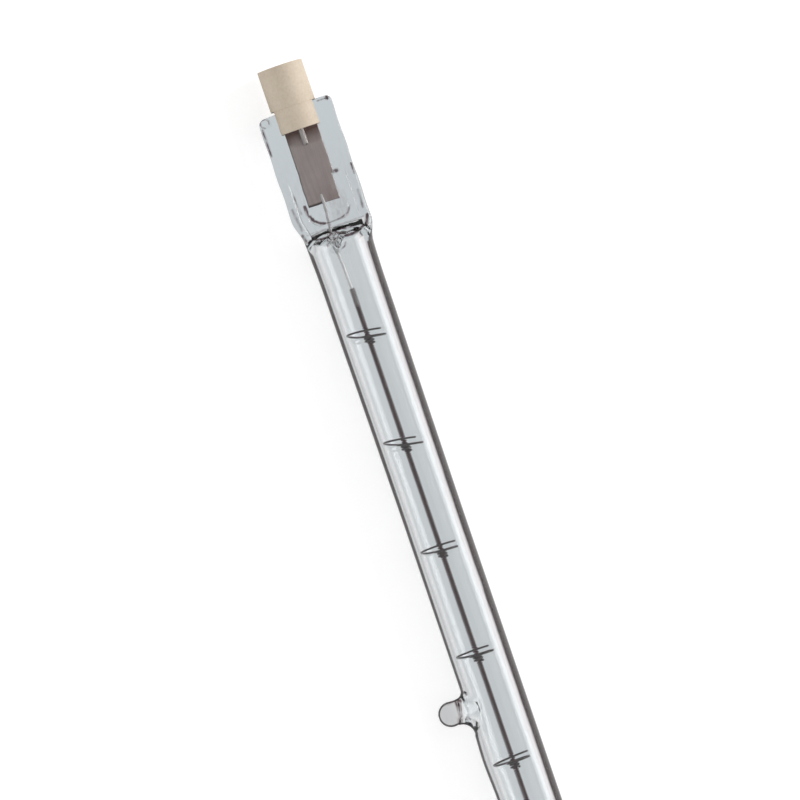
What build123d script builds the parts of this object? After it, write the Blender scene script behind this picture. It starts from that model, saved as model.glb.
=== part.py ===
from build123d import *
import os
from math import asin, cos, degrees, pi, sin

# Double-ended linear halogen bulb, in millimetres. The axis of the tube is X and the origin is the
# centre of contact A's face. Everything is modelled flat, with the pinch seals in the XY plane and the
# exhaust nib towards -Y, and then rolled about X so that the bulb lies on its shoulders and the nib.

# Whole bulb
contact_span = 250.7
recess_depth = 1.7

# Ceramic caps
cap_r = 3.8
cap_length = 10.9
cap_chamfer = 0.3
slot_depth = 4.0
leg_relief = 0.4
recess_r = 1.65
cement_layer = 0.3
cement_inset = 0.35

# Metal contact at the bottom of each cap's recess
contact_r = 1.4
contact_thickness = 1.0
contact_stem_r = 0.8
contact_stem_length = 2.4
contact_clearance = 0.05

# Quartz tube with its shoulders
tube_r = 5.0
wall = 1.0
shoulder_r = 5.4
flare_length = 24.0
shoulder_round = 2.8
end_wall = 2.1
void_tip_r = 2.0
void_tip_length = 0.7
void_end_length = 2.4

# Pinch seals
pinch_length = 20.3
pinch_overrun = 1.7
pinch_width = 12.6
pinch_corner = 1.0
web_thickness = 2.6
rail_width = 1.55
rail_thickness = 3.2
rail_round = 0.7
window_length = 7.6
window_width = 7.1
window_depth = 0.15
window_corner = 1.6
window_margin = 0.9

# Exhaust nib
nib_x = 107.5
nib_r = 2.1
nib_reach = 9.8
nib_fillet = 1.1
nib_mouth_r = 2.0
nib_bore_r = 1.2
nib_bore_reach = 6.5
nib_bore_chamfer = 0.4

# Sealing foils and the lead wires welded to them
foil_inset = 3.1
foil_length = 13.2
foil_width = 5.6
foil_thickness = 0.05
outer_lead_r = 0.5
outer_weld = 3.1
inner_lead_r = 0.3
inner_weld = 1.5
weld_flat = 0.05
inner_lead_side = 0.33
inner_lead_exit_side = 0.87
inner_lead_straight = 0.8
lead_exposed = 8.5
lead_in_coil = 3.0
collar_r = 1.7
collar_tip_r = 0.8
collar_length = 2.6

# Filament coil and the wire spirals that carry it
filament_r = 0.75
coil_fit = 0.02
support_count = 10
support_start = 8.65
support_finish = 4.25
support_wire_r = 0.19
ring_r = 3.44
ring_gap = 0.02
ring_turns = 1.0
ring_pitch = 1.7
arm_turns = 0.6
arm_advance = -0.45
grip_turns = 2.5
grip_pitch = 0.45
grip_fit = 0.02
wire_sides = 5
ring_steps_per_turn = 12
grip_steps_per_turn = 8

# Places worked out from the sizes above
mid_x = contact_span / 2
leg_r = cap_r - leg_relief
cap_end_x = -recess_depth
cap_inner_x = cap_end_x + cap_length
slot_floor_x = cap_inner_x - slot_depth
slot_width = web_thickness + 2 * cement_layer
pinch_x = slot_floor_x + cement_layer
shoulder_x = pinch_x + pinch_length
void_x = shoulder_x + end_wall
coil_x = void_x + lead_exposed
foil_x = pinch_x + foil_inset
foil_top_z = weld_flat - outer_lead_r
bore_r = tube_r - wall
filament_y = ring_r + ring_gap - bore_r
mid_plane = Plane.YZ.offset(mid_x)
nib_plane = Plane(origin=(nib_x, 0, 0), x_dir=(1, 0, 0), z_dir=(0, -1, 0))

# The rolled bulb touches the floor with its widest circles and with the nib's round end
roll_angle = degrees(asin((shoulder_r - nib_r) / (nib_reach - nib_r)))


def rod(start_x, end_x, radius):
    """Round rod along X on the bulb's axis."""
    return Plane.YZ.offset(start_x) * extrude(Circle(radius), end_x - start_x)


def spindle(end_line, middle_r):
    """Solid of revolution from one end's outline: its flare, the straight tube, and the same mirrored."""
    tip_x = (end_line @ 0).X
    flare_start = end_line @ 1
    flare_x = flare_start.X + flare_length
    flare = Polyline(flare_start, (flare_x, middle_r), (mid_x, middle_r))
    half = end_line + flare
    axis_line = Line((tip_x, 0), (contact_span - tip_x, 0))
    profile = half + mirror(half, about=mid_plane) + axis_line
    return revolve(make_face(profile), axis=Axis.X)


def tube_with_nib():
    """Outside of the tube, with the exhaust nib standing on it and blended into it."""
    flat_r = shoulder_r - shoulder_round
    end_line = Line((shoulder_x, 0), (shoulder_x, flat_r))
    end_line += CenterArc((shoulder_x + shoulder_round, flat_r), shoulder_round, start_angle=90, arc_size=90)
    tube = spindle(end_line, tube_r)
    nib = nib_plane * extrude(Circle(nib_r), nib_reach - nib_r)
    nib += nib_plane * Pos(0, 0, nib_reach - nib_r) * Sphere(nib_r)
    joined = tube + nib
    foot = new_edges(tube, nib, combined=joined)
    return fillet(foot, nib_fillet)


def gas_space():
    """The sealed hollow: the tube's bore and the funnel that opens from it into the nib."""
    tip_end_x = void_x + void_tip_length
    end_line = Polyline((void_x, 0), (tip_end_x, void_tip_r), (tip_end_x + void_end_length, shoulder_r - wall))
    bore = spindle(end_line, bore_r)
    funnel_reach = nib_bore_reach - bore_r
    funnel = Cone(nib_mouth_r, nib_bore_r, funnel_reach, align=(Align.CENTER, Align.CENTER, Align.MIN))
    funnel = chamfer(funnel.edges().sort_by(Axis.Z)[-1], nib_bore_chamfer)
    mouth = extrude(Circle(nib_mouth_r), bore_r)
    return bore + nib_plane * (mouth + Pos(0, 0, bore_r) * funnel)


def pinch_seal():
    """Flat pressed seal: a web between two rounded side rails, with a moulded window in both faces."""
    length = pinch_length + pinch_overrun
    rail_y = (pinch_width - rail_width) / 2
    section = Rectangle(pinch_width - rail_width, web_thickness)
    section += Pos(rail_y, 0) * RectangleRounded(rail_width, rail_thickness, rail_round)
    section += Pos(-rail_y, 0) * RectangleRounded(rail_width, rail_thickness, rail_round)
    bar = Plane.YZ.offset(pinch_x) * extrude(section, length)
    outline = Pos(pinch_x + length / 2, 0) * RectangleRounded(length, pinch_width, pinch_corner)
    seal = bar & extrude(outline, rail_thickness, both=True)
    window_x = shoulder_x - window_margin - window_length / 2
    window = Pos(window_x, 0) * RectangleRounded(window_length, window_width, window_corner)
    floor_z = web_thickness / 2 - window_depth
    cutter = Pos(0, 0, floor_z) * extrude(window, rail_thickness)
    seal -= cutter
    seal -= mirror(cutter, about=Plane.XY)
    return seal


def lead_collar():
    """Glass drawn up round the inner lead where it leaves the pinch."""
    base_x = void_x - collar_length / 2
    start = (base_x, -inner_lead_exit_side, 0)
    plane = Plane(origin=start, z_dir=(1, 0, 0))
    return plane * Cone(collar_r, collar_tip_r, collar_length, align=(Align.CENTER, Align.CENTER, Align.MIN))


def foil():
    """Thin sealing foil, on which both leads lie."""
    sheet = Pos(foil_x + foil_length / 2, 0) * Rectangle(foil_length, foil_width)
    return Pos(0, 0, foil_top_z - foil_thickness) * extrude(sheet, foil_thickness)


def below_foil_top(start_x, end_x):
    """Block that flattens a wire where it is welded to the foil."""
    patch = Pos((start_x + end_x) / 2, 0) * Rectangle(end_x - start_x, foil_width)
    return Pos(0, 0, foil_top_z - web_thickness) * extrude(patch, web_thickness)


def outer_lead():
    """Wire from the contact's stem, where it is welded end to end, to its blunt end on the foil."""
    end_x = foil_x + outer_weld
    wire = rod(contact_thickness + contact_stem_length, end_x, outer_lead_r)
    return wire - below_foil_top(foil_x, end_x)


def inner_lead():
    """Wire from the foil's inner end through the collar into the filament's first turns."""
    foil_end_x = foil_x + foil_length
    weld_z = foil_top_z + inner_lead_r - weld_flat
    start = (foil_end_x - inner_weld, -inner_lead_side, weld_z)
    route = Polyline(
        start,
        (foil_end_x + inner_lead_straight, -inner_lead_side, weld_z),
        (void_x + collar_length / 2, -inner_lead_exit_side, weld_z / 2),
        (coil_x - lead_in_coil / 2, filament_y, 0),
        (coil_x + lead_in_coil, filament_y, 0),
    )
    section = Plane(origin=start, z_dir=(1, 0, 0)) * Circle(inner_lead_r)
    wire = sweep(section, path=route, transition=Transition.RIGHT)
    return wire - below_foil_top(foil_end_x - inner_weld - inner_lead_r, foil_end_x)


def ceramic_cap():
    """Round cap: a recess and a contact seat in its end, a lead hole, and two legs beside the slot."""
    body = rod(cap_end_x, slot_floor_x, cap_r) + rod(slot_floor_x, cap_inner_x, leg_r)
    rims = body.edges().filter_by(GeomType.CIRCLE).sort_by(Axis.X)
    body = chamfer([rims[0], rims[-1]], cap_chamfer)
    body -= rod(cap_end_x, 0, recess_r)
    body -= rod(0, contact_thickness, contact_r + contact_clearance)
    body -= rod(contact_thickness, slot_floor_x, contact_stem_r + contact_clearance)
    slot = Pos((slot_floor_x + cap_inner_x) / 2, 0) * Rectangle(slot_depth, 2 * cap_r)
    return body - extrude(slot, slot_width / 2, both=True)


def contact_button():
    """Round contact with a stem that meets the outer lead."""
    stem_end_x = contact_thickness + contact_stem_length
    return rod(0, contact_thickness, contact_r) + rod(contact_thickness, stem_end_x, contact_stem_r)


def cement(envelope, lead, strip):
    """Cement in the slot round the end of the pinch, and in the lead hole behind the contact."""
    stem_end_x = contact_thickness + contact_stem_length
    hole_fill = rod(stem_end_x, slot_floor_x, contact_stem_r + contact_clearance)
    fill_end_x = cap_inner_x - cement_inset
    slot_fill = rod(slot_floor_x, fill_end_x, leg_r - cement_inset)
    fill_length = fill_end_x - slot_floor_x
    slot_block = Pos(slot_floor_x + fill_length / 2, 0) * Rectangle(fill_length, 2 * cap_r)
    slot_fill &= extrude(slot_block, slot_width / 2, both=True)
    return hole_fill + slot_fill - envelope - lead - strip


def filament():
    """The long coil, as the hollow rod that its close turns fill."""
    coil_end_x = contact_span - coil_x
    coil = rod(coil_x, coil_end_x, filament_r)
    coil -= rod(coil_x, coil_end_x, inner_lead_r + coil_fit)
    return Pos(0, filament_y, 0) * coil


def support_route():
    """Points of one support: the ring on the bore, the arm spiralling in, and the turns that grip.

    The grip's circle is widened so that the middles of its straight steps still clear the filament.
    """
    ring_line_r = ring_r - support_wire_r
    grip_line_r = (filament_r + grip_fit + support_wire_r) / cos(pi / grip_steps_per_turn)
    ring_steps = round(ring_turns * ring_steps_per_turn)
    arm_steps = round(arm_turns * grip_steps_per_turn)
    grip_steps = round(grip_turns * grip_steps_per_turn)
    points = []
    for step in range(ring_steps + 1):
        turn = ring_turns * step / ring_steps
        points.append((turn, ring_line_r, ring_pitch * (turn - ring_turns)))
    for step in range(1, arm_steps + 1):
        share = step / arm_steps
        eased = (1 - cos(pi * share)) / 2
        radius = ring_line_r + (grip_line_r - ring_line_r) * eased
        points.append((ring_turns + arm_turns * share, radius, arm_advance * share))
    for step in range(1, grip_steps + 1):
        turn = grip_turns * step / grip_steps
        points.append((ring_turns + arm_turns + turn, grip_line_r, arm_advance + grip_pitch * turn))
    return points


def filament_support():
    """Wire spiral with its gripping turns, centred on the filament's axis, its ring ending at X = 0."""
    route = [
        Vector(along, radius * cos(2 * pi * turn), radius * sin(2 * pi * turn))
        for turn, radius, along in support_route()
    ]
    start = Plane(origin=route[0], x_dir=(0, route[0].Y, route[0].Z), z_dir=route[1] - route[0])
    section = start * RegularPolygon(support_wire_r, wire_sides)
    return sweep(section, path=Polyline(*route), transition=Transition.RIGHT)


def build():
    """All pieces, still flat: node name to solid."""
    lead_out = outer_lead()
    lead_in = inner_lead()
    strip = foil()
    end_a = {
        "ceramic_cap": ceramic_cap(),
        "contact_button": contact_button(),
        "outer_lead": lead_out,
        "foil": strip,
        "inner_lead": lead_in,
    }
    glass = tube_with_nib() + pinch_seal() + mirror(pinch_seal(), about=mid_plane)
    glass -= gas_space()
    glass += lead_collar()
    glass += mirror(lead_collar(), about=mid_plane)
    for buried in (strip, lead_out, lead_in):
        glass -= buried
        glass -= mirror(buried, about=mid_plane)
    end_a["cement"] = cement(glass, lead_out, strip)

    pieces = {"quartz_envelope": glass, "filament": filament()}
    for name, piece in end_a.items():
        pieces[name + "_a"] = piece
        pieces[name + "_b"] = mirror(piece, about=mid_plane)
    support = filament_support()
    first_x = coil_x + support_start
    last_x = contact_span - coil_x - support_finish
    spacing = (last_x - first_x) / (support_count - 1)
    for number in range(support_count):
        place = Pos(first_x + spacing * number, filament_y, 0)
        pieces[f"filament_support_{number + 1:02d}"] = place * support
    return pieces


os.makedirs("parts", exist_ok=True)
for node, piece in build().items():
    export_step(Rot(roll_angle, 0, 0) * piece, f"parts/{node}.step")
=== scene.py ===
import math

import bmesh
import bpy
import numpy as np
from mathutils import Matrix, Vector


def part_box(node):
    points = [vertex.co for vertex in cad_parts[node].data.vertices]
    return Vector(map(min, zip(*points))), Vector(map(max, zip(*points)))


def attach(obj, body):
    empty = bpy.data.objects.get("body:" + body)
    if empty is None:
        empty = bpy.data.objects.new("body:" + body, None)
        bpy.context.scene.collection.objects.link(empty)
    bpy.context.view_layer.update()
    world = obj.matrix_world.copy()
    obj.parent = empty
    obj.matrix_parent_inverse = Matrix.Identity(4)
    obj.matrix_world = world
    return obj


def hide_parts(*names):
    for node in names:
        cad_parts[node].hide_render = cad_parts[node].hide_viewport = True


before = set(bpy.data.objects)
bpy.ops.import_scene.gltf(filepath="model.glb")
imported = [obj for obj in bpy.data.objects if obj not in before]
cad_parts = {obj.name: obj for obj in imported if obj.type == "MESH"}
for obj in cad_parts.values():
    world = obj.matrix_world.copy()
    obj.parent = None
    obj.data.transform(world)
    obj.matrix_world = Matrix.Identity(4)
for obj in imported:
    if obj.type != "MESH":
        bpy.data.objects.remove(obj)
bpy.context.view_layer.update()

# The shapes below are worked out in the flat frame of the CAD source, in millimetres: X runs along the
# bulb from contact A, the pinch seals lie in XY and the nib points to -Y. to_world() rolls them about X,
# as the bulb lies on its shoulders and nib, and turns them into metres.
MM = 0.001
SPAN = 250.7
MID_X = SPAN / 2
TUBE_R = 5.0
WALL = 1.0
SHOULDER_R = 5.4
NIB_X = 107.5
NIB_R = 2.1
NIB_REACH = 9.8
ROLL = math.asin((SHOULDER_R - NIB_R) / (NIB_REACH - NIB_R))
COS, SIN = math.cos(ROLL), math.sin(ROLL)
FILAMENT_Y = -0.54


def to_world(points):
    p = np.asarray(points, dtype=float)
    y = p[:, 1] * COS - p[:, 2] * SIN
    z = p[:, 1] * SIN + p[:, 2] * COS
    return np.column_stack((p[:, 0], y, z)) * MM


def smoothstep(low, high, value):
    t = np.clip((np.asarray(value, dtype=float) - low) / (high - low), 0.0, 1.0)
    return t * t * (3.0 - 2.0 * t)


def lerp(a, b, share):
    return a + (b - a) * share


def from_near_end(x):
    """Distance along X from contact A for the near half, and from contact B for the far half."""
    return x if x <= MID_X else SPAN - x


# Mesh helpers


class Shape:
    """Vertices and faces gathered in the flat frame."""

    def __init__(self):
        self.points = []
        self.faces = []

    def add(self, points):
        first = len(self.points)
        self.points.extend(tuple(p) for p in points)
        return list(range(first, len(self.points)))

    def bridge(self, ring_a, ring_b, closed=True):
        count = len(ring_a)
        for k in range(count if closed else count - 1):
            n = (k + 1) % count
            self.faces.append((ring_a[k], ring_a[n], ring_b[n], ring_b[k]))

    def fan(self, ring, centre=None):
        """Closes a ring with faces to one point, the mean of its own points if none is given."""
        if centre is None:
            centre = np.mean([self.points[i] for i in ring], axis=0)
        middle = self.add([centre])[0]
        for k in range(len(ring)):
            self.faces.append((ring[k], ring[(k + 1) % len(ring)], middle))


def mesh_object(name, shape, inward=False, smooth=True):
    """A Blender object from a Shape, in world metres, with all its normals out, or in for a hollow."""
    mesh = bpy.data.meshes.new(name)
    mesh.from_pydata(to_world(shape.points).tolist(), [], shape.faces)
    bm = bmesh.new()
    bm.from_mesh(mesh)
    loose = [v for v in bm.verts if not v.link_faces]
    bmesh.ops.delete(bm, geom=loose, context="VERTS")
    bmesh.ops.recalc_face_normals(bm, faces=bm.faces)
    if inward:
        bmesh.ops.reverse_faces(bm, faces=bm.faces)
    bm.to_mesh(mesh)
    bm.free()
    if smooth:
        mesh.shade_smooth()
    obj = bpy.data.objects.new(name, mesh)
    bpy.context.scene.collection.objects.link(obj)
    return obj


def join(objects):
    """Merges the objects into the first one."""
    with bpy.context.temp_override(active_object=objects[0], selected_editable_objects=objects):
        bpy.ops.object.join()
    return objects[0]


def keep_numbers(obj, name, values):
    """One number at each vertex, which a material reads by that name."""
    obj.data.attributes.new(name, "FLOAT", "POINT").data.foreach_set("value", values)


def finish_piece(obj, material, slot, *nodes):
    obj.data.materials.clear()
    obj.data.materials.append(material)
    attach(obj, "root")
    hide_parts(*nodes)


def frames_along(path):
    """Tangents and two carried normals at each point of a path, without twist."""
    path = np.asarray(path, dtype=float)
    tangents = np.gradient(path, axis=0)
    tangents /= np.linalg.norm(tangents, axis=1)[:, None]
    normals = np.zeros_like(path)
    seed = np.array((0.0, 0.0, 1.0)) if abs(tangents[0][2]) < 0.9 else np.array((0.0, 1.0, 0.0))
    n = seed - tangents[0] * seed.dot(tangents[0])
    normals[0] = n / np.linalg.norm(n)
    for k in range(1, len(path)):
        n = normals[k - 1] - tangents[k] * normals[k - 1].dot(tangents[k])
        normals[k] = n / np.linalg.norm(n)
    return path, tangents, normals, np.cross(tangents, normals)


WIRE_END = 0.6


def wire_shape(path, radius, sides):
    """Round wire along the points, with rounded ends that reach WIRE_END of its radius beyond them."""
    shape = Shape()
    path, tangents, normals, binormals = frames_along(path)
    angles = np.linspace(0, 2 * math.pi, sides, endpoint=False)

    def ring_at(k, beyond, size):
        around = np.outer(np.cos(angles), normals[k]) + np.outer(np.sin(angles), binormals[k])
        return shape.add(path[k] + tangents[k] * beyond + around * size)

    ends = [(WIRE_END * radius * math.sin(a), radius * math.cos(a)) for a in np.radians((35, 60, 80))]
    rings = [ring_at(0, -beyond, size) for beyond, size in reversed(ends)]
    rings += [ring_at(k, 0.0, radius) for k in range(len(path))]
    rings += [ring_at(-1, beyond, size) for beyond, size in ends]
    for ring_a, ring_b in zip(rings, rings[1:]):
        shape.bridge(ring_a, ring_b)
    for ring in (rings[0], rings[-1]):
        shape.fan(ring)
    return shape


# Node helpers


def new_material(name):
    material = bpy.data.materials.new(name)
    material.use_nodes = True
    tree = material.node_tree
    tree.nodes.clear()
    out = tree.nodes.new("ShaderNodeOutputMaterial")
    return material, tree, out


def node(tree, kind, inputs=None, **settings):
    made = tree.nodes.new(kind)
    for key, value in settings.items():
        setattr(made, key, value)
    for key, value in (inputs or {}).items():
        if isinstance(value, bpy.types.NodeSocket):
            tree.links.new(value, made.inputs[key])
        else:
            made.inputs[key].default_value = value
    return made


def stretched_coords(tree, scale=(1, 1, 1)):
    """World position of the surface in metres, multiplied by scale along each axis."""
    coords = node(tree, "ShaderNodeTexCoord")
    mapping = node(tree, "ShaderNodeMapping", {"Vector": coords.outputs["Object"], "Scale": scale})
    return mapping.outputs["Vector"]


def position(tree):
    """World position of the surface in metres, as the sockets X, Y and Z."""
    coords = node(tree, "ShaderNodeTexCoord")
    return node(tree, "ShaderNodeSeparateXYZ", {"Vector": coords.outputs["Object"]}).outputs


def attribute(tree, name):
    """The number that keep_numbers() gave to the vertices."""
    return node(tree, "ShaderNodeAttribute", attribute_name=name).outputs["Fac"]


def noise(tree, vector, scale, detail=3.0, roughness=0.55):
    return node(
        tree, "ShaderNodeTexNoise",
        {"Vector": vector, "Scale": scale, "Detail": detail, "Roughness": roughness},
    ).outputs["Fac"]


def ramp(tree, factor, stops):
    made = node(tree, "ShaderNodeValToRGB", {"Fac": factor})
    elements = made.color_ramp.elements
    while len(elements) < len(stops):
        elements.new(0.5)
    for element, (place, colour) in zip(elements, stops):
        element.position = place
        element.color = (*colour, 1.0)
    return made.outputs["Color"]


def bump(tree, height, strength, distance):
    return node(
        tree, "ShaderNodeBump",
        {"Height": height, "Strength": strength, "Distance": distance},
    ).outputs["Normal"]


def math_node(tree, operation, *values):
    return node(tree, "ShaderNodeMath", dict(enumerate(values)), operation=operation).outputs[0]


def map_range(tree, value, source=(0.0, 1.0), target=(0.0, 1.0)):
    return node(tree, "ShaderNodeMapRange", {
        "Value": value,
        "From Min": source[0], "From Max": source[1],
        "To Min": target[0], "To Max": target[1],
    }).outputs["Result"]


def mix_colours(tree, share, first, second, blend_type="MIX"):
    return node(
        tree, "ShaderNodeMix", {0: share, 6: first, 7: second},
        data_type="RGBA", blend_type=blend_type,
    ).outputs[2]


def mix_shaders(tree, share, first, second):
    return node(tree, "ShaderNodeMixShader", {0: share, 1: first, 2: second}).outputs[0]


def principled_material(name, make, roughness, metallic=0.0):
    """Material whose make(tree) returns sockets for the colour, the normal and perhaps the roughness."""
    material, tree, out = new_material(name)
    inputs = {"Roughness": roughness, "Metallic": metallic}
    inputs.update(make(tree))
    shader = node(tree, "ShaderNodeBsdfPrincipled", inputs)
    tree.links.new(shader.outputs[0], out.inputs["Surface"])
    return material


# Materials


def quartz_material():
    """Clear fused quartz. Its outside is painted dark where rays glance into it, as painted shade for the
    dark surroundings at the tube's edges, and the painted shade at its edges, steps and drops is in broken
    strokes. Both numbers come from mark_glass()."""
    material, tree, out = new_material("clear_quartz")
    wobble = noise(tree, stretched_coords(tree, (0.35, 1.0, 1.0)), 420.0, 2.0, 0.5)
    facing = node(tree, "ShaderNodeLayerWeight", {"Blend": 0.5}).outputs["Facing"]
    # Painted shade: the outside turns dark where rays glance into it
    painted_dark_rim = ramp(tree, math_node(tree, "MULTIPLY", facing, attribute(tree, "outside")), [
        (0.445, (0.985, 0.99, 0.995)),
        (0.50, (0.012, 0.007, 0.007)),
        (0.60, (0.004, 0.002, 0.002)),
    ])
    streaks = noise(tree, stretched_coords(tree, (0.45, 1.0, 1.0)), 1500.0, 3.0, 0.6)
    broken = math_node(tree, "MULTIPLY_ADD", streaks, 2.6, -0.35)
    # Painted shade: dark strokes where the glass's edges, steps, window and drops show dark, over a weak
    # grain on the pinch
    painted_line_shade = ramp(tree, math_node(tree, "MULTIPLY", attribute(tree, "painted_shade_and_grain"), broken), [
        (0.0, (1.0, 1.0, 1.0)),
        (0.25, (0.66, 0.61, 0.61)),
        (0.60, (0.07, 0.036, 0.040)),
        (1.0, (0.012, 0.005, 0.006)),
    ])
    shader = node(tree, "ShaderNodeBsdfPrincipled", {
        "Base Color": mix_colours(tree, 1.0, painted_dark_rim, painted_line_shade, "MULTIPLY"),
        "Roughness": 0.0,
        "IOR": 1.458,
        "Transmission Weight": 1.0,
        "Normal": bump(tree, wobble, 0.05, 0.0004),
    })
    tree.links.new(shader.outputs[0], out.inputs["Surface"])
    absorb = node(tree, "ShaderNodeVolumeAbsorption", {"Color": (0.45, 0.44, 0.45, 1.0), "Density": 60.0})
    tree.links.new(absorb.outputs[0], out.inputs["Volume"])
    return material


def ceramic_material():
    def make(tree):
        coords = stretched_coords(tree)
        broad = noise(tree, coords, 160.0, 4.0, 0.6)
        fine = noise(tree, coords, 2600.0, 3.0, 0.7)
        both = math_node(tree, "MULTIPLY_ADD", fine, 0.45, math_node(tree, "MULTIPLY", broad, 0.55))
        colour = ramp(tree, both, [
            (0.25, (0.47, 0.385, 0.295)),
            (0.50, (0.55, 0.465, 0.365)),
            (0.75, (0.63, 0.55, 0.45)),
        ])
        return {"Base Color": colour, "Normal": bump(tree, fine, 0.25, 0.00006)}

    return principled_material("steatite_ceramic", make, 0.62)


def cement_material():
    def make(tree):
        grains = noise(tree, stretched_coords(tree), 1900.0, 5.0, 0.7)
        colour = ramp(tree, grains, [(0.3, (0.50, 0.47, 0.42)), (0.7, (0.72, 0.69, 0.63))])
        return {"Base Color": colour, "Normal": bump(tree, grains, 0.7, 0.0001)}

    return principled_material("white_cement", make, 0.9)


def foil_material():
    """Rolled foil: streaks along its length, darker brown towards the outer end, and darker places,
    which are kept at its vertices."""
    def make(tree):
        streaks = noise(tree, stretched_coords(tree, (0.05, 1, 1)), 2600.0, 4.0, 0.7)
        blotches = noise(tree, stretched_coords(tree), 330.0, 2.0, 0.5)
        both = math_node(tree, "MULTIPLY_ADD", streaks, 0.6, math_node(tree, "MULTIPLY", blotches, 0.4))
        grey = ramp(tree, both, [
            (0.30, (0.55, 0.465, 0.445)),
            (0.50, (0.64, 0.555, 0.530)),
            (0.70, (0.74, 0.655, 0.625)),
        ])
        x = position(tree)["X"]
        near = math_node(tree, "MINIMUM", x, math_node(tree, "SUBTRACT", SPAN * MM, x))
        wander = math_node(tree, "MULTIPLY_ADD", blotches, 0.0016, near)
        outer_brown = map_range(tree, wander, source=(0.0105, 0.0128), target=(1.0, 0.0))
        grey_with_outer_brown = mix_colours(tree, outer_brown, grey, (0.190, 0.095, 0.072, 1.0))
        colour = mix_colours(tree, attribute(tree, "foil_darkening"), grey_with_outer_brown, (0.060, 0.038, 0.034, 1.0))
        return {"Base Color": colour, "Normal": bump(tree, streaks, 0.3, 0.00003)}

    return principled_material("molybdenum_foil", make, 0.5, 0.55)


def metal_material(name, dark, light, roughness, metallic, scale, stretch=(1, 1, 1), relief=0.2):
    def make(tree):
        grain = noise(tree, stretched_coords(tree, stretch), scale, 3.0, 0.6)
        return {
            "Base Color": ramp(tree, grain, [(0.3, dark), (0.7, light)]),
            "Roughness": map_range(tree, grain, target=(roughness * 0.8, roughness * 1.25)),
            "Normal": bump(tree, grain, relief, 0.00002),
        }

    return principled_material(name, make, roughness, metallic)


# Grain of drawn wire, stretched along X
DRAWN = (0.08, 1, 1)

glass = quartz_material()
ceramic = ceramic_material()
cement = cement_material()
foil = foil_material()
lead_metal = metal_material(
    "molybdenum_wire", (0.50, 0.45, 0.43), (0.72, 0.67, 0.64), 0.25, 0.6, 2400.0, DRAWN)
# The inner leads are painted near white, as painted light for the light that the glass keeps off them
inner_lead_lit_metal = metal_material(
    "lead_wire_painted_bright", (0.88, 0.88, 0.88), (0.95, 0.95, 0.95), 0.30, 0.2, 2400.0, DRAWN)
tungsten = metal_material(
    "coiled_tungsten", (0.070, 0.026, 0.028), (0.130, 0.060, 0.062), 0.42, 0.5, 3000.0)
support_metal = metal_material(
    "support_tungsten", (0.055, 0.048, 0.048), (0.110, 0.098, 0.096), 0.34, 0.7, 3000.0)
nickel = metal_material(
    "contact_nickel", (0.42, 0.40, 0.37), (0.62, 0.60, 0.56), 0.3, 1.0, 1400.0, relief=0.35)


# Quartz envelope

# Flat section of the pinch: a thin web between two rails with rounded outer edges
PINCH_X = 5.5
PINCH_HALF_WIDTH = 6.3
PINCH_CORNER_R = 1.0
PINCH_END_R = 0.3
WEB_Z = 1.3
WEB_EDGE_Y = 4.65
RAIL_Z = 1.6
RAIL_EDGE_Y = 5.05
SIDE_Z = 0.9
SIDE_R = 0.7
# Along the pinch, from the near contact: where the rails rise, and where the left side is drawn in
RAIL_RISE = (13.5, 19.5)
LEFT_PULL = 0.75
LEFT_PULL_RUN = (23.2, 27.0)
# The moulded window: its middle, half length, half width, corners and depth
WINDOW_X = 21.4
WINDOW_HALF_LENGTH = 3.8
WINDOW_HALF_WIDTH = 3.55
WINDOW_CORNER_R = 1.6
WINDOW_DEPTH = 0.42
WAVE_HEIGHT = 0.026
RIPPLE_HEIGHT = 0.05
# Drops of glass at the corners of the upper face: distance from the near contact, Y, radius and height
DROPS = ((6.51, -5.05, 0.80, 0.75), (5.95, 5.60, 0.42, 0.45))
# Where the flat section opens into the round tube, and the tube's radius at distances from the near end
SHOULDER_X = 25.9
SHOULDER_END_X = 29.6
TUBE_PROFILE = (
    (29.6, 5.38), (31.9, 5.29), (35.2, 5.22), (41.7, 5.20),
    (49.9, 5.14), (56.4, 5.10), (64.6, 5.06), (74.4, TUBE_R),
)
# The bulge beyond the nib: its middle, its reach along the tube, and its height outside and inside
SWELL_X = 116.5
SWELL_REACH = 4.5
SWELL_HEIGHT = 0.28
BORE_SWELL_HEIGHT = 0.26
# The nib fills a window in the rings of the tube: half its length, and half its number of points around
NIB_WINDOW, NIB_WINDOW_POINTS = 4.5, 19
BORE_WINDOW, BORE_WINDOW_POINTS = 3.0, 15
# Its rings above the foot: radius, distance from the bulb's axis, and how fully that distance counts
NIB_WAIST = ((2.06, 6.4, 0.45), (2.02, 6.9, 0.75), (2.05, 7.3, 1.0))
NIB_BORE_R = 1.62
NIB_BORE = ((1.52, 5.5, 0.8), (1.46, 5.95, 1.0), (1.30, 6.22, 1.0), (0.9, 6.34, 1.0), (0.45, 6.38, 1.0))
NIB_BORE_SLANT = 0.22


def quarter_section():
    """Flat section from the middle of the side face to the middle of the top face."""
    rail_y = PINCH_HALF_WIDTH - SIDE_R
    points = [(PINCH_HALF_WIDTH, SIDE_Z * k / 4) for k in range(4)]
    for a in range(0, 90, 15):
        a = math.radians(a)
        points.append((rail_y + SIDE_R * math.cos(a), SIDE_Z + SIDE_R * math.sin(a)))
    points += [(lerp(rail_y, RAIL_EDGE_Y, k / 3), RAIL_Z) for k in range(3)]
    for k in range(5):
        height = lerp(RAIL_Z, WEB_Z, float(smoothstep(0, 1, k / 5)))
        points.append((lerp(RAIL_EDGE_Y, WEB_EDGE_Y, k / 5), height))
    return points + [(lerp(WEB_EDGE_Y, 0.0, k / 18), WEB_Z) for k in range(19)]


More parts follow.
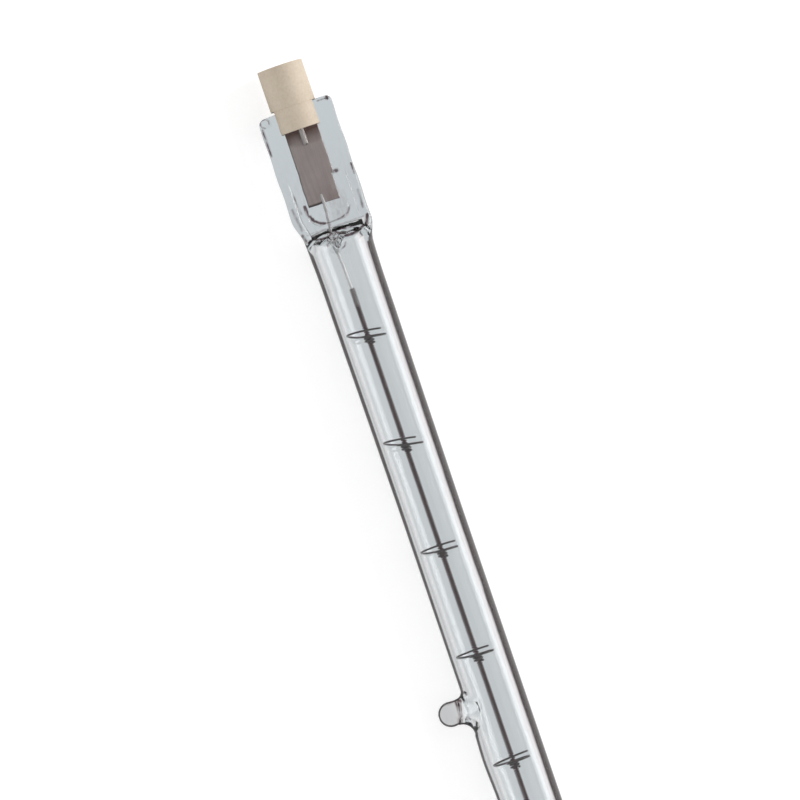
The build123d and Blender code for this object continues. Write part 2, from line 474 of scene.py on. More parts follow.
def full_section():
    """The four quarters in order, and the angle of each point where the section has become round."""
    quarter = quarter_section()
    section = []
    for side, up in ((1, 1), (-1, 1), (-1, -1), (1, -1)):
        run = quarter[:-1] if side == up else quarter[:0:-1]
        section += [(side * y, up * z) for y, z in run]
    return np.array(section), np.linspace(0, 2 * math.pi, len(section), endpoint=False)


SECTION, TURN = full_section()
RING_COUNT = len(TURN)


def tube_radius(x):
    return float(np.interp(from_near_end(x), *zip(*TUBE_PROFILE)))


def swelling(x, turn, height):
    """Slight bulge of the tube just beyond the nib, on the nib's side."""
    return height * math.exp(-((x - SWELL_X) / SWELL_REACH) ** 2) * np.clip(-np.cos(turn), 0, 1) ** 1.5


def waves(x, y, phase):
    """Small unevenness of the pressed glass."""
    return (
        0.50 * np.sin(1.9 * x + 0.8 * y + phase)
        + 0.35 * np.sin(3.1 * x - 1.7 * y + 2.1 + phase)
        + 0.25 * np.sin(0.7 * x + 2.9 * y + 4.0 + 2 * phase)
    )


def mound(x, y, centre_x, centre_y, radius, height):
    """Round drop of glass standing on the pinch."""
    gap = np.hypot(x - centre_x, y - centre_y) / radius
    return height * np.sqrt(np.clip(1.0 - gap ** 2, 0.0, 1.0))


def window_mask(x, y):
    """1 inside the moulded window of the pinch, 0 outside, fading out towards the cap."""
    dx = np.maximum(np.abs(x - WINDOW_X) - (WINDOW_HALF_LENGTH - WINDOW_CORNER_R), 0)
    dy = np.maximum(np.abs(y) - (WINDOW_HALF_WIDTH - WINDOW_CORNER_R), 0)
    outside = np.hypot(dx, dy) - WINDOW_CORNER_R
    return (1.0 - smoothstep(-0.14, 0.12, outside)) * smoothstep(18.5, 21.5, x - 0.35 * y)


def outer_ring(x):
    """One ring of the outside, from the flat pinch section to the round tube."""
    near = from_near_end(x)
    y, z = SECTION.T
    upper = z > 0

    # Rounded corners of the pinch in plan, its slightly wavy sides, and the left side's pull inwards
    into = max(0.0, 1.0 - (near - PINCH_X) / PINCH_CORNER_R)
    half_width = PINCH_HALF_WIDTH - PINCH_CORNER_R * (1.0 - math.sqrt(max(0.0, 1.0 - into ** 2)))
    left_pull = LEFT_PULL * float(smoothstep(*LEFT_PULL_RUN, near))
    edge = np.where(y < 0, half_width - left_pull, half_width)
    edge = edge + 0.05 * np.sin(0.9 * near + np.where(y < 0, 0.0, 2.0))
    y = y * edge / PINCH_HALF_WIDTH

    # Half thickness: the rails rise towards the shoulder, and the end's edges are rounded
    rail_share = float(smoothstep(*RAIL_RISE, near))
    half_z = np.minimum(np.abs(z), WEB_Z) + np.maximum(np.abs(z) - WEB_Z, 0.0) * rail_share
    soften = max(0.0, 1.0 - (near - PINCH_X) / PINCH_END_R)
    thin = PINCH_END_R * (1.0 - math.sqrt(max(0.0, 1.0 - soften ** 2)))
    half_z = np.maximum(half_z - thin, 0.0)

    # Window, unevenness and drops on the flat faces, and the slant of the pinch's end
    flat_share = np.clip(half_z / SIDE_Z, 0, 1)
    window = window_mask(near, y)
    ripple = RIPPLE_HEIGHT * float(smoothstep(21.6, 22.4, near))
    ripple = ripple * np.sin(5.1 * near + 3.0 * y) * np.cos(4.3 * y - near)
    relief = (ripple - WINDOW_DEPTH) * window + WAVE_HEIGHT * waves(near, y, np.where(upper, 0.0, 2.0))
    drops = sum(mound(near, y, *drop) for drop in DROPS)
    z = np.sign(z) * (half_z + (relief + np.where(upper, drops, 0.0)) * flat_share)
    slant = -0.3 * (y / PINCH_HALF_WIDTH) * max(0.0, 1.0 - (near - PINCH_X) / 4.0)

    # Shoulder: the flat section opens into the round one, sooner on the left
    radius = tube_radius(x) + swelling(x, TURN, SWELL_HEIGHT)
    share = float(np.clip((near - SHOULDER_X) / (SHOULDER_END_X - SHOULDER_X), 0.0, 1.0))
    round_y = np.where(y < 0, smoothstep(25.6, 29.2, near), smoothstep(26.2, 30.2, near))
    y = lerp(y, radius * np.cos(TURN), round_y)
    z = lerp(z, radius * np.sin(TURN), float(smoothstep(0.0, 1.0, share)) ** 0.9)
    xs = near + slant * (1 - share)
    return np.column_stack((SPAN - xs if x > MID_X else xs, y, z))


def places(*runs):
    """X of the rings of each run: its first place, the place before which it stops, and its step."""
    return [x for run in runs for x in np.arange(*run)]


def nearest(stations, x):
    return min(range(len(stations)), key=lambda k: abs(stations[k] - x))


def outer_stations():
    """X of the rings from one end to the other, closer together where the shape changes."""
    end = [PINCH_X + PINCH_END_R * (1 - math.cos(math.radians(a))) for a in (0, 30, 50, 70, 90)]
    end += places(
        (5.9, 8.0, 0.1), (8.0, 16.9, 0.2), (16.9, 30.4, 0.12), (30.5, 36.0, 0.5), (36.5, 75.0, 1.75),
    )
    middle = places(
        (76.5, NIB_X - NIB_WINDOW, 2.0),
        (NIB_X - NIB_WINDOW, NIB_X + NIB_WINDOW + 0.01, 0.25),
        (NIB_X + NIB_WINDOW + 1.0, 130.0, 1.5),
        (131.0, 174.0, 2.0),
    )
    return end + middle + [SPAN - x for x in reversed(end)]


def nib_patch(shape, window, radius, rings):
    """Fills the window, a closed row of vertices on the tube, with the rings of the nib."""
    corner = np.array([shape.points[i] for i in window])
    across = np.hypot(corner[:, 0] - NIB_X, corner[:, 2])
    turn = np.arctan2(corner[:, 2], corner[:, 0] - NIB_X)
    last = window
    for ring in rings:
        rho, height, blend = ring(across, turn)
        x = NIB_X + rho * np.cos(turn)
        z = rho * np.sin(turn)
        tube_y = np.sqrt(np.maximum(radius ** 2 - z ** 2, 0.0))
        y = -lerp(tube_y + height, height, blend)
        made = shape.add(np.column_stack((x, y, z)))
        shape.bridge(last, made)
        last = made
    shape.fan(last)


def grid_with_window(shape, rings, window_rows, window_turns):
    """Bridges all rings but leaves out the cells of the window, and returns its edge in order."""
    r0, r1 = window_rows
    k0, k1 = window_turns
    count = len(rings[0])
    for r in range(len(rings) - 1):
        for k in range(count):
            if r0 <= r < r1 and k0 <= k < k1:
                continue
            n = (k + 1) % count
            shape.faces.append((rings[r][k], rings[r][n], rings[r + 1][n], rings[r + 1][k]))
    edge = [rings[r0][k] for k in range(k0, k1)]
    edge += [rings[r][k1] for r in range(r0, r1)]
    edge += [rings[r1][k] for k in range(k1, k0, -1)]
    edge += [rings[r][k0] for r in range(r1, r0, -1)]
    return edge


def outer_fillet(turn):
    """Radius of the nib's foot, larger towards the far end."""
    return 1.1 + 0.9 * (0.5 + 0.5 * np.cos(turn)) ** 1.5


def bore_fillet(turn):
    """Radius of the foot inside the tube."""
    return 1.15 + 0.35 * (0.5 + 0.5 * np.cos(turn))


def patch_profile(wall_r, fillet, points, slant=0.0):
    """Rings of a nib: out on the tube, round its foot, then the points. Each ring gives its radius about
    the nib, a height, and how far that height counts from the bulb's axis instead of the tube."""
    makers = []
    for share in (0.35, 0.7):
        makers.append(lambda across, turn, s=share: (lerp(across, wall_r + fillet(turn), s), 0.0, 0.0))
    for a in range(0, 91, 10):
        sine, cosine = math.sin(math.radians(a)), math.cos(math.radians(a))
        makers.append(lambda across, turn, s=sine, c=cosine: (
            wall_r + fillet(turn) * (1 - s), fillet(turn) * (1 - c), 0.0))
    for rho, height, blend in points:
        makers.append(lambda across, turn, r=rho, h=height, b=blend: (
            r, lerp(fillet(turn), h, b) + slant * b * r * np.cos(turn), b))
    return makers


def outer_surface():
    shape = Shape()
    stations = outer_stations()
    rings = [shape.add(outer_ring(x)) for x in stations]
    rows = [nearest(stations, NIB_X + side * NIB_WINDOW) for side in (-1, 1)]
    turns = (RING_COUNT // 2 - NIB_WINDOW_POINTS, RING_COUNT // 2 + NIB_WINDOW_POINTS)
    edge = grid_with_window(shape, rings, rows, turns)
    wall = list(NIB_WAIST)
    for a in (0, *range(12, 90, 13)):
        a = math.radians(a)
        wall.append((NIB_R * math.cos(a), NIB_REACH - NIB_R + NIB_R * math.sin(a), 1.0))
    nib_patch(shape, edge, TUBE_R, patch_profile(NIB_R, outer_fillet, wall))

    # Flat ends of the pinch seals
    for last in (rings[0], rings[-1]):
        outline = np.array([shape.points[i] for i in last])
        for share in (0.8, 0.55, 0.3):
            made = shape.add(outline * (1, share, share))
            shape.bridge(last, made)
            last = made
        shape.fan(last, (float(np.mean(outline[:, 0])), 0, 0))
    return shape


VOID_RING = 120
VOID_TURN = np.linspace(0, 2 * math.pi, VOID_RING, endpoint=False)
VOID_R = 4.38
VOID_TUBE_X = 30.0
VOID_BOTTOM_X = 27.45
LEAD_Y = -0.87
BEAD_X = 29.16
BEAD_R = 1.12
# Rings of the hollow about the lead: radius and X where the bead's neck meets the hollow's end, and the
# radii of the rings that run from there over the end to the bore
NECK_RINGS = ((0.52, 28.05), (0.55, 27.92), (0.64, 27.8))
END_RINGS = (0.85, 1.05, 1.3, 1.6, 1.9, 2.2, 2.5, 2.8, 3.1, 3.4, 3.7, 3.95, 4.12, 4.24, 4.32, 4.36, VOID_R)
BORE_STATIONS = (34.5, 37.0, 41.0, 46.0, 52.0, 58.0, 65.0, 74.5)


def void_floor(y, z):
    """X of the hollow's end over the section: a wedge in a dome, with a ridge near the middle."""
    rho = np.minimum(np.hypot(y, z) / VOID_R, 1.0)
    dome = 0.6 * (1.0 - np.sqrt(1.0 - rho ** 2))
    wedge = 1.1 * (np.abs(z) / VOID_R) ** 1.7 * (1.0 - 0.6 * smoothstep(3.2, 4.3, np.abs(y)))
    ridge = 0.6 * np.exp(-((y + 0.45) / 0.6) ** 2)
    folds = 0.06 * np.sin(2.9 * y + 1.9 * z + 0.6)
    return VOID_BOTTOM_X + dome + wedge + ridge + folds * smoothstep(0.9, 1.6, np.hypot(y - LEAD_Y, z))


def void_ring(x, radius, centre_y=0.0):
    """Ring of the hollow. x and radius are numbers, or one for each of its points."""
    y, z = centre_y + radius * np.cos(VOID_TURN), radius * np.sin(VOID_TURN)
    return np.column_stack((np.broadcast_to(x, VOID_RING), y, z))


def near_void_rings():
    """Rings of the hollow from the tip of the bead on the lead, over its end, to the plain bore, whose
    radius follows the tube's beyond VOID_TUBE_X."""
    rings = []
    for a in range(12, 151, 12):
        a = math.radians(a)
        rings.append(void_ring(BEAD_X + BEAD_R * math.cos(a), BEAD_R * math.sin(a), LEAD_Y))
    rings += [void_ring(x, size, LEAD_Y) for size, x in NECK_RINGS]
    for size in END_RINGS:
        ring = void_ring(0.0, size, LEAD_Y * (1 - float(smoothstep(1.2, 3.9, size))))
        ring[:, 0] = void_floor(ring[:, 1], ring[:, 2])
        rings.append(ring)
    rim_x = rings[-1][:, 0]
    for share in (0.12, 0.3, 0.5, 0.75):
        xs = lerp(rim_x, BORE_STATIONS[0], share)
        radii = [tube_radius(x) - WALL if x > VOID_TUBE_X else VOID_R for x in xs]
        rings.append(void_ring(xs, np.array(radii)))
    return rings + [void_ring(x, tube_radius(x) - WALL) for x in BORE_STATIONS]


def void_surface():
    """The hollow inside the tube."""
    shape = Shape()
    near = near_void_rings()
    middle_x = places(
        (78.0, NIB_X - BORE_WINDOW, 2.9),
        (NIB_X - BORE_WINDOW, NIB_X + BORE_WINDOW + 0.01, 0.25),
        (NIB_X + BORE_WINDOW + 1.0, 176.0, 3.0),
    )
    middle = [
        void_ring(x, tube_radius(x) - WALL + swelling(x, VOID_TURN, BORE_SWELL_HEIGHT)) for x in middle_x
    ]
    far = [ring * (-1, 1, 1) + (SPAN, 0, 0) for ring in reversed(near)]
    rings = [shape.add(ring) for ring in near + middle + far]
    rows = [len(near) + nearest(middle_x, NIB_X + side * BORE_WINDOW) for side in (-1, 1)]
    turns = (VOID_RING // 2 - BORE_WINDOW_POINTS, VOID_RING // 2 + BORE_WINDOW_POINTS)
    edge = grid_with_window(shape, rings, rows, turns)
    nib_patch(shape, edge, TUBE_R - WALL, patch_profile(NIB_BORE_R, bore_fillet, NIB_BORE, NIB_BORE_SLANT))
    for ring in (rings[0], rings[-1]):
        shape.fan(ring)
    return shape


# Dark lines painted as shade on the upper face, where its edges, steps, window and drops show dark: points
# (distance from the near contact, Y), half width, strength
PAINTED_SHADE_LINES = (
    (((21.4, -3.50), (22.9, -3.42), (24.1, -2.80), (24.75, -1.96), (25.08, -1.14)), 0.20, 1.0),
    (((25.08, -1.14), (25.15, 0.0), (25.0, 1.6), (24.5, 2.9), (23.6, 3.5)), 0.13, 0.35),
    (((21.3, -5.55), (23.4, -5.35), (24.9, -5.15)), 0.24, 0.38),
    (((19.3, -4.65), (22.4, -4.50)), 0.16, 0.38),
    (((21.6, 5.60), (24.5, 5.45)), 0.22, 0.40),
    (((25.9, -5.35), (26.8, -5.10)), 0.32, 0.55),
    (((25.9, 5.75), (27.3, 5.15)), 0.26, 0.95),
    (((25.95, -4.6), (25.95, 5.0)), 0.12, 0.28),
    (((7.4, -6.0), (11.9, -6.0)), 0.20, 0.60),
    (((17.1, 5.95), (18.8, 5.95)), 0.18, 0.75),
    (((17.45, 2.75), (17.45, 3.45)), 0.34, 0.62),
    (((5.66, 5.68), (5.70, 5.70)), 0.30, 1.0),
    (((26.5, -3.9), (26.45, -2.4), (26.7, -1.0)), 0.20, 0.70),
    (((27.0, -3.8), (27.35, -2.6), (27.3, -1.4), (26.95, -0.8)), 0.20, 0.80),
    (((26.55, -0.2), (26.75, 1.2), (26.95, 2.6), (26.85, 4.4)), 0.18, 0.80),
    (((26.95, -0.1), (27.35, 0.5), (27.65, 1.25)), 0.20, 0.95),
    (((28.05, 1.3), (28.15, 2.4), (27.85, 3.7), (27.35, 4.6)), 0.24, 1.0),
    (((27.55, -0.75), (28.05, -0.62)), 0.20, 0.70),
    (((28.6, -1.95), (28.7, -1.95)), 0.25, 0.60),
    (((29.1, 0.9), (29.6, 0.75), (29.9, 0.1)), 0.15, 0.55),
    (((5.75, 4.0), (5.72, 5.4)), 0.14, 0.45),
    (
        tuple((6.54 + 0.74 * math.cos(a * 0.6), -5.28 + 0.74 * math.sin(a * 0.6)) for a in range(2, 11)),
        0.14, 0.60,
    ),
)


def gap_to_line(x, y, points):
    """Distance of each place from the line through the points."""
    best = np.full(len(x), 1e9)
    for (ax, ay), (bx, by) in zip(points, points[1:]):
        dx, dy = bx - ax, by - ay
        share = np.clip(((x - ax) * dx + (y - ay) * dy) / (dx * dx + dy * dy), 0, 1)
        best = np.minimum(best, np.hypot(x - ax - share * dx, y - ay - share * dy))
    return best


def mark_glass(obj):
    """The two numbers that the glass material reads at each vertex of the outside."""
    co = np.empty(len(obj.data.vertices) * 3)
    obj.data.vertices.foreach_get("co", co)
    x, y, z = co.reshape(-1, 3).T / MM
    y, z = y * COS + z * SIN, z * COS - y * SIN
    near = np.minimum(x, SPAN - x)
    on_nib = (np.abs(x - NIB_X) < NIB_WINDOW) & (y < -5.2)

    # Painted dark rim: later on the left side, most of all far from the ends, and on the shoulder. It is only
    # on the
    #     flanks, so that the tube is clear along its top and bottom.
    left = smoothstep(1.0, 4.0, -y) * np.where(on_nib, 0.0, 1.0)
    painted_rim_weight = 1.0 - left * (0.09 + 0.09 * smoothstep(60.0, 105.0, near))
    painted_rim_weight *= lerp(0.70, 1.0, smoothstep(27.8, 29.8, near))
    painted_rim_weight *= np.where(on_nib, 1.0, smoothstep(0.30, 0.72, np.abs(y) / 5.1))
    keep_numbers(obj, "outside", painted_rim_weight)

    # Painted shade in strokes, and a weak grain on the pinch and in the right half of its window
    painted_shade_and_grain = np.zeros(len(near))
    for points, half_width, strength in PAINTED_SHADE_LINES:
        gap = gap_to_line(near, y, points)
        painted_shade_and_grain = np.maximum(painted_shade_and_grain, strength * np.clip(1.35 - gap / half_width, 0, 1))
    painted_shade_and_grain += 0.07 * smoothstep(6.0, 20.0, near) * (near < 26)
    painted_shade_and_grain += 0.16 * window_mask(near, y) * smoothstep(0.0, 0.8, y)
    painted_shade_and_grain *= smoothstep(0.0, 0.4, z) * (1.0 - smoothstep(30.0, 31.0, near))

    # A dark slanted line, which crosses the nib from 5.9 mm off the bulb's axis, and painted shade along the
    # nib's sides
    slant_gap = np.abs(-y - 5.9 - 0.223 * (x - 105.7))
    painted_shade_and_grain = np.where(on_nib, np.maximum(painted_shade_and_grain, 0.8 * np.clip(1.4 - slant_gap / 0.22, 0, 1)), painted_shade_and_grain)
    sides = np.clip(np.abs(x - NIB_X) / NIB_R - 0.72, 0, 1) * 2.2
    painted_shade_and_grain = np.where(on_nib & (y < -6.6), np.maximum(painted_shade_and_grain, np.minimum(sides, 0.75)), painted_shade_and_grain)
    keep_numbers(obj, "painted_shade_and_grain", painted_shade_and_grain)


outside = mesh_object("glass_envelope", outer_surface())
mark_glass(outside)
hollow = mesh_object("glass_hollow", void_surface(), inward=True)
envelope = join([outside, hollow])
finish_piece(envelope, glass, "quartz", "quartz_envelope")


# Leads, foils, filament and supports

FOIL_X = 8.6
FOIL_END_X = 21.8
FOIL_Z = -0.45
FOIL_ROWS = 60
FOIL_COLUMNS = 24
LEAD_R = 0.25
LEAD_SINK = 0.03
OUTER_LEAD_R = 0.48
COIL_X = 36.4
COIL_R = 0.38
COIL_WIRE_R = 0.12
COIL_PITCH = 0.38
COIL_STEPS = 14


def smooth_path(points, steps):
    """Catmull-Rom points through the given ones."""
    p = [np.array(q, dtype=float) for q in points]
    p = [2 * p[0] - p[1]] + p + [2 * p[-1] - p[-2]]
    out = []
    for a, b, c, d in zip(p, p[1:], p[2:], p[3:]):
        square, cube = 2 * a - 5 * b + 4 * c - d, 3 * b - a - 3 * c + d
        for s in range(steps):
            t = s / steps
            out.append(0.5 * (2 * b + (c - a) * t + square * t ** 2 + cube * t ** 3))
    out.append(p[-2])
    return np.array(out)


def inner_lead_shape():
    """From the foil, which it is pressed into by LEAD_SINK, through the bead into the coil."""
    z = FOIL_Z + LEAD_R - LEAD_SINK
    path = smooth_path([
        (20.3, -0.33, z), (21.8, -0.33, z), (22.6, -0.36, z), (24.5, -0.52, z * 0.8),
        (27.0, -0.78, z * 0.6), (28.3, -0.85, z * 0.5), (30.0, -0.85, z * 0.4),
        (33.0, -0.66, z * 0.2), (37.9, FILAMENT_Y, 0), (39.4, FILAMENT_Y, 0),
    ], 14)
    return wire_shape(path, LEAD_R, 20)


def outer_lead_shape():
    path = smooth_path([
        (3.42, 0, 0), (5.0, 0, 0), (8.0, 0, 0), (9.0, 0, 0.03), (10.5, 0.02, 0.04), (11.7, 0.03, 0.04),
    ], 6)
    return wire_shape(path, OUTER_LEAD_R, 24)


def foil_shape():
    """Lens-thin strip, slightly wavy, with a step in its right edge near the inner end."""
    shape = Shape()

    def face(side):
        grid = []
        for x in np.linspace(FOIL_X, FOIL_END_X, FOIL_ROWS + 1):
            low = -2.8 - 0.12 * float(smoothstep(16.0, 18.0, x))
            high = 2.8 - 0.32 * float(smoothstep(17.0, 17.4, x))
            row = []
            for share in np.arange(FOIL_COLUMNS + 1) / FOIL_COLUMNS:
                y = lerp(low, high, share)
                wave = 0.012 * math.sin(2.3 * x + 1.1 * y) + 0.01 * math.sin(5 * y)
                thick = 0.026 * (1 - abs(2 * share - 1) ** 4) + 0.004
                row.append((x, y, FOIL_Z + wave + side * thick))
            grid.append(shape.add(row))
        for a, b in zip(grid, grid[1:]):
            shape.bridge(a, b, closed=False)
        return grid[0] + [row[-1] for row in grid[1:]] + grid[-1][-2::-1] + [row[0] for row in grid[-2:0:-1]]

    shape.bridge(face(1), face(-1))
    return shape


def foil_darkening(x, y):
    """How dark the foil is: at the left of its inner end, and along its left edge."""
    near = from_near_end(x)
    if near > 21.4 and -2.95 < y < -0.4:
        return 0.9
    return 0.8 if near > 9 and y < -2.72 else 0.0


def filament_shape():
    """The coil that the leads are pushed into."""
    start_x, end_x = COIL_X + 0.17, SPAN - COIL_X - 0.17
    turns = (end_x - start_x) / COIL_PITCH
    count = int(round(turns * COIL_STEPS))
    share = np.arange(count + 1) / count
    angle = 2 * math.pi * turns * share
    y, z = FILAMENT_Y + COIL_R * np.cos(angle), COIL_R * np.sin(angle)
    return wire_shape(np.column_stack((lerp(start_x, end_x, share), y, z)), COIL_WIRE_R, 6)


SUPPORT_WIRE_R = 0.165
RING_LINE_R = 3.42 - SUPPORT_WIRE_R
GRIP_LINE_R = 0.53 + 0.02 + SUPPORT_WIRE_R
GRIP_PITCH = 0.45
# Turns at which ring, arm and grip begin and the grip ends, and X where arm and grip begin
RING_TURN, ARM_TURN, GRIP_TURN, LAST_TURN = 0.13, 0.86, 1.6, 4.1
ARM_START_X = -0.28
GRIP_START_X = -0.35
# Each support's turn about the filament, its shift along it, and how far it leans along the tube
SUPPORTS = (
    (0.0, 0.0, 0.17), (0.12, 0.30, 0.19), (-0.10, 0.28, 0.05), (0.05, -0.05, 0.02), (-0.15, 0.0, -0.02),
    (0.10, 0.10, 0.10), (0.0, -0.10, 0.15), (-0.12, 0.05, 0.04), (0.15, 0.10, 0.12), (-0.05, 0.0, 0.06),
)
SUPPORT_FIRST_X = COIL_X + 8.65
SUPPORT_LAST_X = SPAN - COIL_X - 4.25
SUPPORT_SPACING = (SUPPORT_LAST_X - SUPPORT_FIRST_X) / (len(SUPPORTS) - 1)


def support_shape(number):
    """Ring on the bore, an arm that spirals in, and the turns that grip the filament."""
    phase, shift, lean = SUPPORTS[number]
    place = SUPPORT_FIRST_X + SUPPORT_SPACING * number + shift
    # The ring's wire weaves along the tube, so that its near and far strokes run side by side
    points = []
    for turn in np.linspace(RING_TURN, ARM_TURN, 43):
        points.append((turn, RING_LINE_R, 0.7 * (turn - 1.0) - 0.45 - 0.35 * math.sin(2 * math.pi * turn)))
    for share in np.arange(1, 25) / 24:
        turn = lerp(ARM_TURN, GRIP_TURN, share)
        along = lerp(ARM_START_X, GRIP_START_X, share)
        points.append((turn, lerp(RING_LINE_R, GRIP_LINE_R, share), along))
    for turn in np.linspace(GRIP_TURN, LAST_TURN, 51)[1:]:
        points.append((turn, GRIP_LINE_R, GRIP_START_X + GRIP_PITCH * (turn - GRIP_TURN)))
    path = []
    for turn, r, along in points:
        angle = 2 * math.pi * turn + phase
        y = r * math.cos(angle)
        path.append((place + along + lean * y, FILAMENT_Y + y, r * math.sin(angle)))
    return wire_shape(path, SUPPORT_WIRE_R, 10)


for end in ("a", "b"):
    for name, maker, material, slot in (
        ("inner_lead", inner_lead_shape, inner_lead_lit_metal, "lead"),
        ("outer_lead", outer_lead_shape, lead_metal, "lead"),
        ("foil", foil_shape, foil, "foil"),
    ):
        shape = maker()
        if end == "b":
            shape.points = [(SPAN - x, y, z) for x, y, z in shape.points]
        piece = mesh_object(f"{name}_{end}_visual", shape)
        if name == "foil":
            keep_numbers(piece, "foil_darkening", [foil_darkening(x, y) for x, y, z in shape.points])
        finish_piece(piece, material, slot, f"{name}_{end}")

finish_piece(mesh_object("filament_coil", filament_shape()), tungsten, "filament", "filament")
for number in range(len(SUPPORTS)):
    piece = mesh_object(f"support_spiral_{number + 1:02d}", support_shape(number))
    finish_piece(piece, support_metal, "support", f"filament_support_{number + 1:02d}")


# Caps, cement and contacts


def rod(name, start_x, end_x, radius, segments=96):
    """Cylinder on the bulb's axis."""
    shape = Shape()
    turn = np.linspace(0, 2 * math.pi, segments, endpoint=False) + 0.01
    y, z = radius * np.cos(turn), radius * np.sin(turn)
    first, second = (shape.add(np.column_stack((np.full(segments, x), y, z))) for x in (start_x, end_x))
    shape.bridge(first, second)
    shape.faces += [tuple(reversed(first)), tuple(second)]
    return mesh_object(name, shape, smooth=False)


def box(name, start_x, end_x, width, height):
    """Box centred on the bulb's axis."""
    shape = Shape()
    y, z = width / 2, height / 2
    shape.add([(x, side * y, up * z) for x in (start_x, end_x) for side in (-1, 1) for up in (-1, 1)])
    shape.faces += [(0, 1, 3, 2), (4, 6, 7, 5), (0, 4, 5, 1), (2, 3, 7, 6), (0, 2, 6, 4), (1, 5, 7, 3)]
    return mesh_object(name, shape, smooth=False)


def apply_modifiers(obj):
    graph = bpy.context.evaluated_depsgraph_get()
    mesh = bpy.data.meshes.new_from_object(obj.evaluated_get(graph))
    obj.modifiers.clear()
    old = obj.data
    obj.data = mesh
    bpy.data.meshes.remove(old)


def combine(base, cutters):
    """base with each (operation, object) applied to it."""
    for operation, tool in cutters:
        modifier = base.modifiers.new("combine", "BOOLEAN")
        modifier.operation = operation
        modifier.solver = "EXACT"
        modifier.object = tool
        apply_modifiers(base)
        bpy.data.objects.remove(tool, do_unlink=True)
    return base


def bevelled(obj, width, segments=3):
    modifier = obj.modifiers.new("edges", "BEVEL")
    modifier.width = width * MM
    modifier.segments = segments
    modifier.limit_method = "ANGLE"
    modifier.angle_limit = math.radians(35)
    modifier.use_clamp_overlap = True
    apply_modifiers(obj)
    obj.data.shade_smooth()
    obj.data.set_sharp_from_angle(angle=math.radians(40))
    return obj


def ceramic_cap(end):
    body = rod(f"ceramic_cap_{end}_visual", -1.7, 5.2, 3.8)
    cutters = [
        ("UNION", rod("legs", 4.8, 9.2, 3.66)),
        ("DIFFERENCE", rod("recess", -2.0, 0.0, 1.65)),
        ("DIFFERENCE", rod("seat", -0.4, 1.0, 1.45)),
        ("DIFFERENCE", rod("hole", 0.0, 6.0, 0.85)),
        ("DIFFERENCE", box("slot", 5.2, 9.6, 9.0, 3.2)),
    ]
    return bevelled(combine(body, cutters), 0.16)


def cement_fill(end):
    body = rod(f"cement_{end}_visual", 5.23, 8.85, 3.03)
    cutters = [
        ("INTERSECT", box("between", 5.23, 8.85, 9.0, 3.14)),
        ("DIFFERENCE", box("pinch_room", 5.45, 10.45, 9.0, 2.72)),
    ]
    return bevelled(combine(body, cutters), 0.06, 2)


def contact(end):
    button = rod(f"contact_{end}_visual", 0.0, 1.0, 1.4, 64)
    stem = rod("stem", 0.8, 3.4, 0.8, 64)
    dimple = rod("dimple", -0.1, 0.1, 0.7, 64)
    return bevelled(combine(button, [("UNION", stem), ("DIFFERENCE", dimple)]), 0.1)


def to_far_end(obj):
    """Mirrors a finished object to the other end of the bulb."""
    mesh = obj.data
    for vertex in mesh.vertices:
        vertex.co.x = SPAN * MM - vertex.co.x
    mesh.flip_normals()


for end in ("a", "b"):
    for maker, material, slot, cad_node in (
        (ceramic_cap, ceramic, "ceramic", "ceramic_cap"),
        (cement_fill, cement, "cement", "cement"),
        (contact, nickel, "contact", "contact_button"),
    ):
        piece = maker(end)
        if end == "b":
            to_far_end(piece)
        finish_piece(piece, material, slot, f"{cad_node}_{end}")


# Floor, light and camera

FLOOR_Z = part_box("quartz_envelope")[0][2]
FLOOR_HALF = 2.0
# What the glass shows of the floor: colours at places across the bulb, in mm, and beside the pinch
STRIPES_HALF = 60.0
STRIPES = (
    (-22.0, (0.30, 0.29, 0.28)),
    (-9.0, (0.52, 0.53, 0.54)),
    (-4.8, (0.70, 0.71, 0.71)),
    (-3.2, (0.83, 0.83, 0.84)),
    (-2.5, (0.82, 0.84, 0.85)),
    (-1.7, (0.602, 0.638, 0.652)),
    (7.3, (0.602, 0.638, 0.652)),
    (9.0, (0.76, 0.74, 0.75)),
    (15.5, (0.82, 0.77, 0.77)),
    (18.2, (0.05, 0.03, 0.03)),
    (40.0, (0.04, 0.022, 0.022)),
)
BESIDE_PINCH = (0.605, 0.655, 0.675, 1.0)
BESIDE_PINCH_FADE = (0.0265, 0.0285)


def floor_material():
    """White to the camera, with the object's shadow. Behind glass it is a blue-grey sheet with
    lighter and darker strips beside the bulb, painted light and shade that the glass shows as the lines along
    its walls."""
    material, tree, out = new_material("pale_floor")
    axes = position(tree)
    across = map_range(tree, axes["Y"], source=(-STRIPES_HALF * MM, STRIPES_HALF * MM))
    stripes = ramp(tree, across, [((y + STRIPES_HALF) / (2 * STRIPES_HALF), colour) for y, colour in STRIPES])
    along = map_range(tree, axes["X"], source=BESIDE_PINCH_FADE)
    behind = node(tree, "ShaderNodeEmission", {"Color": mix_colours(tree, along, BESIDE_PINCH, stripes)})
    grain = noise(tree, stretched_coords(tree), 900.0, 2.0)
    paper = node(tree, "ShaderNodeBsdfDiffuse", {
        "Color": ramp(tree, grain, [(0.3, (0.80, 0.80, 0.80)), (0.7, (0.84, 0.84, 0.84))]),
    })
    faint = node(tree, "ShaderNodeBsdfDiffuse", {"Color": (0.34, 0.34, 0.34, 1.0)})
    lift = node(tree, "ShaderNodeEmission", {"Color": (1.0, 1.0, 1.0, 1.0), "Strength": 0.76})
    white = node(tree, "ShaderNodeAddShader", {0: faint.outputs[0], 1: lift.outputs[0]})
    path = node(tree, "ShaderNodeLightPath").outputs
    direct = mix_shaders(tree, path["Is Camera Ray"], paper.outputs[0], white.outputs[0])
    mixed = mix_shaders(tree, path["Is Transmission Ray"], direct, behind.outputs[0])
    tree.links.new(mixed, out.inputs["Surface"])
    return material


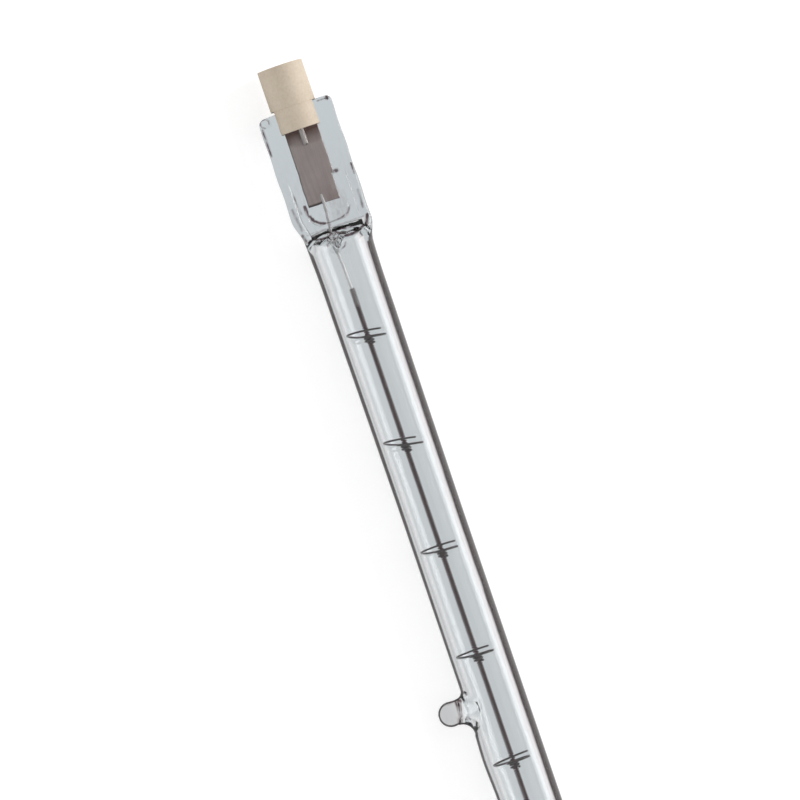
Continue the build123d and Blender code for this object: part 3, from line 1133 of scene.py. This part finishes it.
def stage_floor():
    mesh = bpy.data.meshes.new("floor")
    corners = [(x * FLOOR_HALF, y * FLOOR_HALF, FLOOR_Z) for x, y in ((-1, -1), (1, -1), (1, 1), (-1, 1))]
    mesh.from_pydata(corners, [], [(0, 1, 2, 3)])
    mesh.materials.append(floor_material())
    obj = bpy.data.objects.new("floor", mesh)
    bpy.context.scene.collection.objects.link(obj)


def world_light():
    """White to the camera, and softer to everything else."""
    world = bpy.data.worlds.new("studio")
    bpy.context.scene.world = world
    world.use_nodes = True
    tree = world.node_tree
    tree.nodes.clear()
    out = tree.nodes.new("ShaderNodeOutputWorld")
    soft, white = (
        node(tree, "ShaderNodeBackground", {"Color": (1.0, 1.0, 1.0, 1.0), "Strength": strength}).outputs[0]
        for strength in (0.62, 1.0)
    )
    camera_ray = node(tree, "ShaderNodeLightPath").outputs["Is Camera Ray"]
    tree.links.new(mix_shaders(tree, camera_ray, soft, white), out.inputs["Surface"])


def soft_lamp(name, location, target, size, energy, in_gloss=True):
    """Rectangular lamp. Without in_gloss, neither reflections nor glass show it."""
    data = bpy.data.lights.new(name, "AREA")
    data.shape = "RECTANGLE"
    data.size, data.size_y = size
    data.energy = energy
    lamp = bpy.data.objects.new(name, data)
    bpy.context.scene.collection.objects.link(lamp)
    lamp.location = location
    direction = Vector(target) - Vector(location)
    lamp.rotation_euler = direction.to_track_quat("-Z", "Y").to_euler()
    lamp.visible_glossy = in_gloss
    lamp.visible_transmission = in_gloss


# The bulb's direction in the photo, to the right and down, what the camera looks at, and its distance
RUN_RIGHT, RUN_DOWN = 0.3234, 0.9463
TARGET_ALONG, TARGET_SIDE = 0.05625, 0.00102
CAMERA_DISTANCE = 1.2


def set_camera():
    """Looks square onto the pinch, turned so that the bulb runs down to the right as in the photo."""
    normal = Vector((0, -SIN, COS))
    side = Vector((0, COS, SIN))
    along = Vector((1, 0, 0))
    right = RUN_RIGHT * along + RUN_DOWN * side
    up = -RUN_DOWN * along + RUN_RIGHT * side
    data = bpy.data.cameras.new("camera")
    data.sensor_width = 36.0
    data.lens = 330.8
    data.clip_start = 0.05
    data.clip_end = 10.0
    camera = bpy.data.objects.new("camera", data)
    bpy.context.scene.collection.objects.link(camera)
    matrix = Matrix((right, up, normal)).transposed().to_4x4()
    matrix.translation = along * TARGET_ALONG + side * TARGET_SIDE + normal * CAMERA_DISTANCE
    camera.matrix_world = matrix
    bpy.context.scene.camera = camera


stage_floor()
world_light()
soft_lamp("lamp_right", (0.05, 0.75, 0.55), (0.08, 0, 0), (0.7, 0.5), 4.6)
soft_lamp("lamp_side", (0.0, 0.80, 0.50), (0.0, 0, 0), (0.5, 0.4), 3.4, in_gloss=False)
soft_lamp("lamp_left", (0.05, -0.75, 0.55), (0.08, 0, 0), (0.5, 0.4), 1.8, in_gloss=False)
set_camera()
bpy.context.scene.view_settings.view_transform = "Standard"
